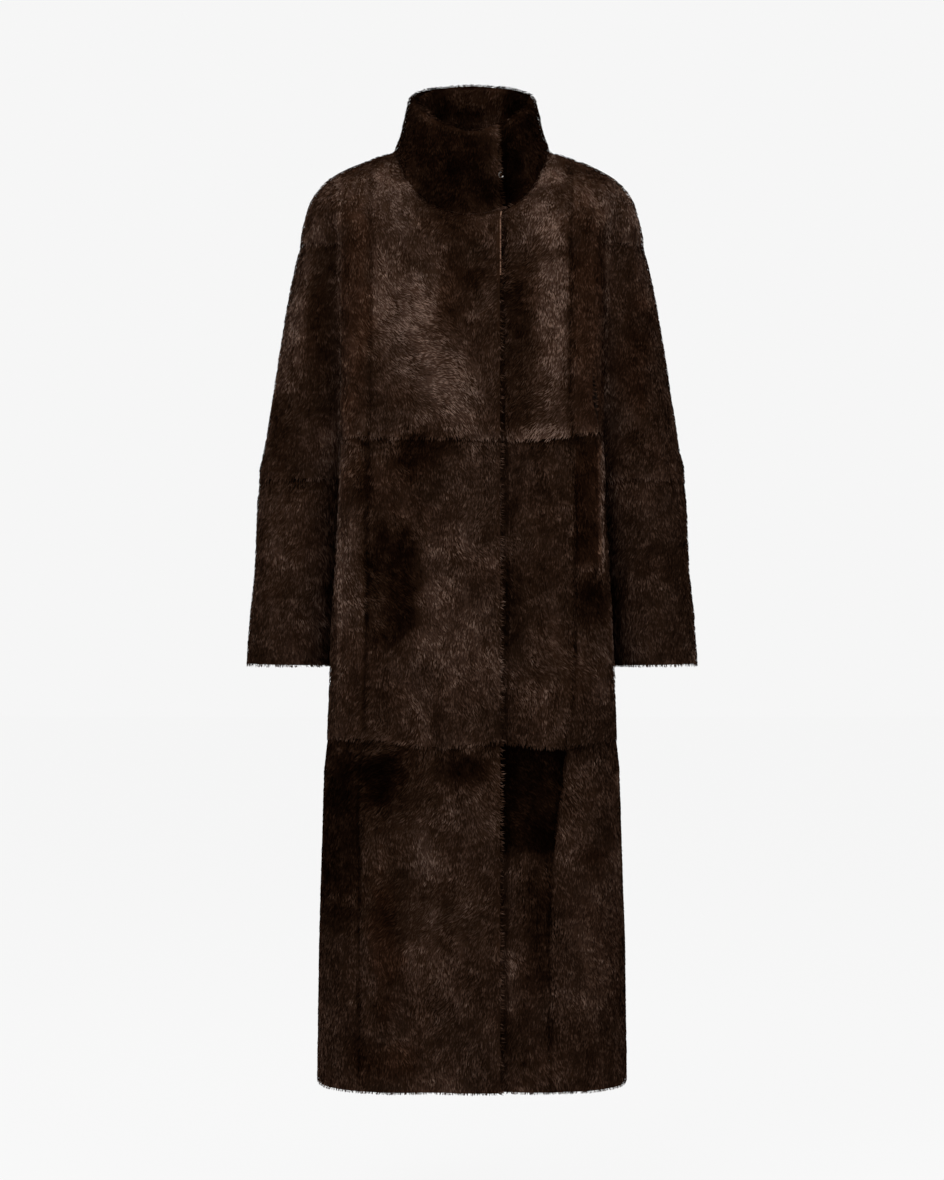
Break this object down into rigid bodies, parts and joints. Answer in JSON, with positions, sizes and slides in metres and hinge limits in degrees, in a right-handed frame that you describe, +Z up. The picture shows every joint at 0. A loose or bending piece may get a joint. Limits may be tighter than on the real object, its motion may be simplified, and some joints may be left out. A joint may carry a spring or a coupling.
{
  "type": "shearling coat",
  "caption": "Long shearling coat with the fur outside, pieced in tiers, with a standing collar, dropped shoulders, straight sleeves and an overlapping front, in its worn shape.",
  "frame": {"origin": "middle of the neck opening, level with the shoulder neck points", "axes": "+Z up, the front faces -Y, +X is the wearer's left"},
  "size_m": [0.5618, 0.2935, 1.2456],
  "materials": {
    "shearling": "dark brown sheepskin worn with the fur outside, short dense fur",
    "collar_shearling": "darker brown sheepskin with fur on both faces",
    "hook_metal": "small polished metal hook"
  },
  "bodies": {
    "root": {"upper_front_right": "shearling", "upper_front_left": "shearling", "upper_side_right": "shearling", "upper_side_left": "shearling", "upper_back": "shearling", "mid_front_right": "shearling", "mid_front_left": "shearling", "mid_side_right": "shearling", "mid_side_left": "shearling", "mid_back": "shearling", "low_front_right": "shearling", "low_front_left": "shearling", "low_side_right": "shearling", "low_side_left": "shearling", "low_back": "shearling", "upper_sleeve_front_right": "shearling", "upper_sleeve_back_right": "shearling", "lower_sleeve_front_right": "shearling", "lower_sleeve_back_right": "shearling", "upper_sleeve_front_left": "shearling", "upper_sleeve_back_left": "shearling", "lower_sleeve_front_left": "shearling", "lower_sleeve_back_left": "shearling", "collar_outer": "collar_shearling", "collar_inner": "collar_shearling", "collar_hook": "hook_metal"}
  },
  "joints": []
}
